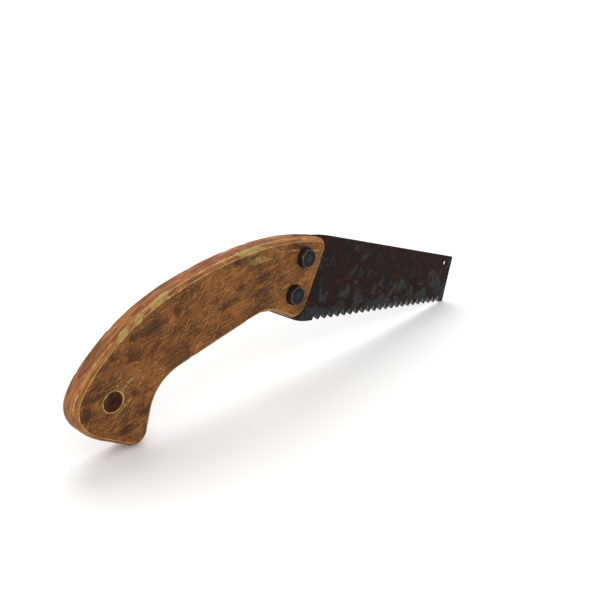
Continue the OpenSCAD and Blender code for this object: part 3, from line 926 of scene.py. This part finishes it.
# The outline runs clockwise and its holes the other way, so that steel is always on the right
rings = [ring if runs_clockwise(ring) == (k == 0) else ring[::-1] for k, ring in enumerate(rings)]
line = [to_blade(p) for p in rings[0]]
band_top = GULLET_LINE + BAND
toothed = [p[0] > HEEL_END - 0.01 * MM and p[1] < band_top for p in line]
toe = max((p for p, gone in zip(line, toothed) if gone), key=lambda p: p[0])
back = max(line, key=lambda p: p[0])
start = next(k for k in range(len(line)) if toothed[k - 1] and not toothed[k])
plate = [line[(start + k) % len(line)] for k in range(len(line)) if not toothed[(start + k) % len(line)]]
end_at = toe[0] + (back[0] - toe[0]) * (band_top - toe[1]) / (back[1] - toe[1])
plate += [(end_at, band_top), (HEEL_END, band_top), (HEEL_END, toe[1])]
rings[0] = [from_blade(p) for p in plate]

bm = bmesh.new()
for ring in rings:
    inner = drawn_in(ring, EDGE_BREAK)
    skin(bm, [[(x, y, z) for x, z in r] for r, y in (
        (inner, -BLADE_HALF), (ring, -BLADE_HALF + EDGE_BREAK), (ring, BLADE_HALF - EDGE_BREAK),
        (inner, BLADE_HALF))])
for y in (-BLADE_HALF, BLADE_HALF):
    fill(bm, [drawn_in(ring, EDGE_BREAK) for ring in rings], y, 0)
blade = finished(bm, "blade_plate", 30)

# The tooth row, in the blade's own frame: x along the gullets, z up, each piece left open where the
# next one joins it. Each gullet is filed on a slant, which leaves a bright facet on the heads' side.
ROW_HALF = BLADE_HALF - 0.015 * MM
P, H = PITCH, TOOTH_H
BACK_CUT = (0.8 * P, -0.5 * H)
FILED_FRONT = [(-0.2 * P, -0.5 * H), (-0.05 * P, -0.13 * H), (0.1 * P, 1.7 * MM), (0.25 * P, 0.3 * MM),
               (0.4 * P, -0.42 * H), (0.51 * P, -H)]
FILED_BACK = [(-0.2 * P, -0.5 * H), (-0.03 * P, -0.08 * H), (0.0, 0.0), (0.07 * P, -0.28 * H),
              (0.2 * P, -0.68 * H), (0.51 * P, -H)]
# The walls under a tooth that the file leaves bright, counted from the heel's side
GROUND_RUNS = (1, 2, 3, 4)


def row_piece(name, front, rear, ends):
    """One closed run of the row from two outlines of its lower edge, front and rear, with the walls named."""
    bm = bmesh.new()
    ground = bm.faces.layers.float.new("ground")
    lift = BAND + 0.4 * MM
    sides = []
    for line, y in ((front, -ROW_HALF), (rear, ROW_HALF)):
        top = [(line[-1][0], lift), (line[0][0], lift)]
        sides.append([bm.verts.new((x, y, z)) for x, z in list(line) + top])
        bm.faces.new(sides[-1] if y < 0 else sides[-1][::-1])
    n = len(front)
    for k in range(n + 2):
        j = (k + 1) % (n + 2)
        if (k == n - 1 and "toe" not in ends) or (k == n + 1 and "heel" not in ends):
            continue
        face = bm.faces.new((sides[0][k], sides[1][k], sides[1][j], sides[0][j]))
        face[ground] = 1.0 if k in GROUND_RUNS and k < n - 1 and name != "heel_end" else 0.0
    return smooth_piece(bm, name, 24)


teeth = round((toe[0] - FIRST_GULLET - 0.6 * P) / P - 0.5)
tooth = row_piece("tooth", FILED_FRONT + [(0.6 * P, -H), BACK_CUT],
                  FILED_BACK + [(0.6 * P, -H), BACK_CUT], ())
heel_line = [(HEEL_END - FIRST_GULLET - 0.4 * MM, -H), (HEEL_END - FIRST_GULLET, -H), (-0.2 * P, -0.5 * H)]
heel = row_piece("heel_end", heel_line, heel_line, ("heel",))
last = toe[0] - FIRST_GULLET - teeth * P
toe_corner = [(last, -H)]
toe_end = row_piece("toe_end", FILED_FRONT + toe_corner, FILED_BACK + toe_corner, ("toe",))
for v in toe_end.data.vertices:
    if v.co.z > 0.5 * BAND and v.co.x > 0.5 * last:
        v.co.x = end_at - FIRST_GULLET - teeth * P - 0.03 * MM

row, came, gone, sockets = geometry_group("tooth_row", (
    ("Tooth", "Object"), ("Heel", "Object"), ("Toe", "Object"), ("Teeth", "Int"), ("Pitch", "Vector"),
    ("First Gullet", "Vector"), ("Last Gullet", "Vector"), ("Pivot", "Vector"), ("Slope", "Vector"),
    ("Finish", "Material")))
shapes = [add(row, "GeometryNodeObjectInfo", {"Object": came.outputs[k]}).outputs["Geometry"]
          for k in ("Tooth", "Heel", "Toe")]
line = add(row, "GeometryNodeMeshLine", {"Count": came.outputs["Teeth"], "Offset": came.outputs["Pitch"],
                                         "Start Location": came.outputs["First Gullet"]}).outputs[0]
whole = row.nodes.new("GeometryNodeJoinGeometry")
for part in (add(row, "GeometryNodeInstanceOnPoints", {"Points": line, "Instance": shapes[0]}).outputs[0],
             add(row, "GeometryNodeTransform", {"Geometry": shapes[1],
                                                "Translation": came.outputs["First Gullet"]}).outputs[0],
             add(row, "GeometryNodeTransform", {"Geometry": shapes[2],
                                                "Translation": came.outputs["Last Gullet"]}).outputs[0]):
    row.links.new(part, whole.inputs[0])
placed = add(row, "GeometryNodeTransform", {"Geometry": whole.outputs[0], "Rotation": came.outputs["Slope"],
                                            "Translation": came.outputs["Pivot"]}).outputs[0]
real = add(row, "GeometryNodeRealizeInstances", {0: placed}).outputs[0]
joined = add(row, "GeometryNodeMergeByDistance", {"Geometry": real, "Distance": JOIN}).outputs[0]
dress(row, joined, came, gone)

steel, t, shader = new_material("rusted_blade_steel")
where = add(t, "ShaderNodeTexCoord").outputs["Object"]
ground = stored(t, "ground")
from_pivot = vector_calc(t, "SUBTRACT", where, (pivot[0], 0, pivot[1]))
above = add(t, "ShaderNodeVectorMath", {0: from_pivot, 1: (math.sin(SLOPE), 0, math.cos(SLOPE))},
            operation="DOT_PRODUCT").outputs["Value"]
out_along = add(t, "ShaderNodeVectorMath", {0: from_pivot, 1: (math.cos(SLOPE), 0, -math.sin(SLOPE))},
                operation="DOT_PRODUCT").outputs["Value"]
facing = face_on(t)
cloud = speckle(t, where, 48, 6, 0.66, 0.4)
rusting = speckle(t, where, 85, 7, 0.66, 0.5)
patch = speckle(t, where, 78, 8, 0.64, 0.8)
grit = speckle(t, where, 1500, 3, 0.6)
flecks = speckle(t, where, 300, 4, 0.6, 1.0)
colour = blend(t, ramp(t, cloud, 0.4, 0.6), paint(25, 20, 18), paint(35, 24, 20))
rust = blend(t, ramp(t, flecks, 0.35, 0.65), paint(44, 23, 16), paint(58, 31, 19))
colour = blend(t, ramp(t, rusting, 0.48, 0.6, 0, 0.85), colour, rust)
colour = blend(t, ramp(t, times(t, cloud, rusting), 0.3, 0.36, 0, 0.6), colour, paint(19, 16, 15))
ochre = times(t, ramp(t, flecks, 0.62, 0.7), ramp(t, rusting, 0.48, 0.56))
colour = blend(t, times(t, ochre, 0.7), colour, paint(92, 60, 22))
scoured = plus(t, patch, plus(t, ramp(t, above, 0.012, -0.024, 0, 0.1),
                                         ramp(t, above, -0.02, -0.029, 0, 0.05)))
scoured = ramp(t, calc(t, "MULTIPLY_ADD", calc(t, "SUBTRACT", flecks, 0.5), 0.1, scoured), 0.572, 0.615)
scoured = times(t, scoured, ramp(t, facing, 0.5, 0.9))
grey = blend(t, ramp(t, cloud, 0.35, 0.65), paint(42, 44, 46), paint(54, 54, 54))
colour = blend(t, times(t, scoured, 0.9), colour, grey)
colour = blend(t, ramp(t, grit, 0.5, 0.75, 0, 0.35), colour, paint(20, 17, 16))
colour = blend(t, ramp(t, facing, 0.7, 0.3, 0, 0.9), colour, paint(20, 19, 19))
filed = times(t, ground, ramp(t, grit, 0.3, 0.7, 0.75, 1.0))
bright = blend(t, ramp(t, out_along, 0.03, 0.2), paint(78, 78, 78), paint(118, 118, 119))
colour = blend(t, filed, colour, bright)
t.links.new(colour, shader.inputs["Base Color"])
t.links.new(plus(t, times(t, scoured, 0.25), times(t, ground, 0.2)),
            shader.inputs["Metallic"])
t.links.new(calc(t, "SUBTRACT", ramp(t, rusting, 0.35, 0.65, 0.55, 0.8), times(t, scoured, 0.12)),
            shader.inputs["Roughness"])
shader.inputs["Specular IOR Level"].default_value = 0.08
height = plus(t, times(t, rusting, 0.8), plus(t, times(t, grit, 0.25),
                                                                      times(t, scoured, -0.35)))
bumped(t, shader, 0.5, 0.0003, height)

tooth_row = grown("blade_teeth", row, sockets, {
    "Tooth": tooth, "Heel": heel, "Toe": toe_end, "Teeth": teeth, "Pitch": (PITCH, 0, 0),
    "First Gullet": (FIRST_GULLET, 0, GULLET_LINE),
    "Last Gullet": (FIRST_GULLET + teeth * PITCH, 0, GULLET_LINE),
    "Pivot": (pivot[0], 0, pivot[1]), "Slope": (0, SLOPE, 0), "Finish": steel})
for shape in (tooth, heel, toe_end):
    bpy.data.objects.remove(shape)
blade.data.materials.append(steel)
for piece in (blade, tooth_row):
    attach(piece, "blade_body")
    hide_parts("blade")

# --- Floor, light and camera ------------------------------------------------------------------
# A plain pale floor runs back into a pale room. A broad light stands behind and to the right, and a
# weaker one in front, so the saw's shadow falls soft and to the front left.
FLOOR_REACH = 12
ground, t, shader = new_material("pale_floor")
shader.inputs["Base Color"].default_value = (0.93, 0.93, 0.93, 1)
shader.inputs["Roughness"].default_value = 0.9
shader.inputs["Specular IOR Level"].default_value = 0.1
bm = bmesh.new()
bmesh.ops.create_grid(bm, x_segments=1, y_segments=1, size=FLOOR_REACH)
bmesh.ops.translate(bm, verts=bm.verts, vec=(0, 0, cad_low[2]))
floor_mesh = bpy.data.meshes.new("floor")
bm.to_mesh(floor_mesh)
bm.free()
floor = in_scene("floor", floor_mesh)
floor.data.materials.append(ground)

room = bpy.data.worlds.new("room")
room.use_nodes = True
room.node_tree.nodes["Background"].inputs["Color"].default_value = (1, 1, 1, 1)
room.node_tree.nodes["Background"].inputs["Strength"].default_value = 0.86
bpy.context.scene.world = room
for name, toward, spread, strength in (("back_light", (0.5, 0.62, 1.15), 42, 1.15),
                                       ("front_light", (-0.5, -0.9, 0.8), 60, 0.35)):
    lamp = bpy.data.lights.new(name, "SUN")
    lamp.angle, lamp.energy = math.radians(spread), strength
    light = in_scene(name, lamp)
    light.location = toward
    light.rotation_euler = Vector(toward).to_track_quat("Z", "Y").to_euler()

view = bpy.data.cameras.new("camera")
view.lens, view.sensor_width, view.clip_start = 47.92, 36, 0.01
camera = in_scene("camera", view)
target = Vector((0.18412, 0, 0.01689))
camera.location = target - 0.65 * Vector((0.65328, 0.65328, -0.38268))
camera.rotation_euler = (target - camera.location).to_track_quat("-Z", "Y").to_euler()
bpy.context.scene.camera = camera
bpy.context.scene.view_settings.view_transform = "Standard"

bpy.context.view_layer.update()
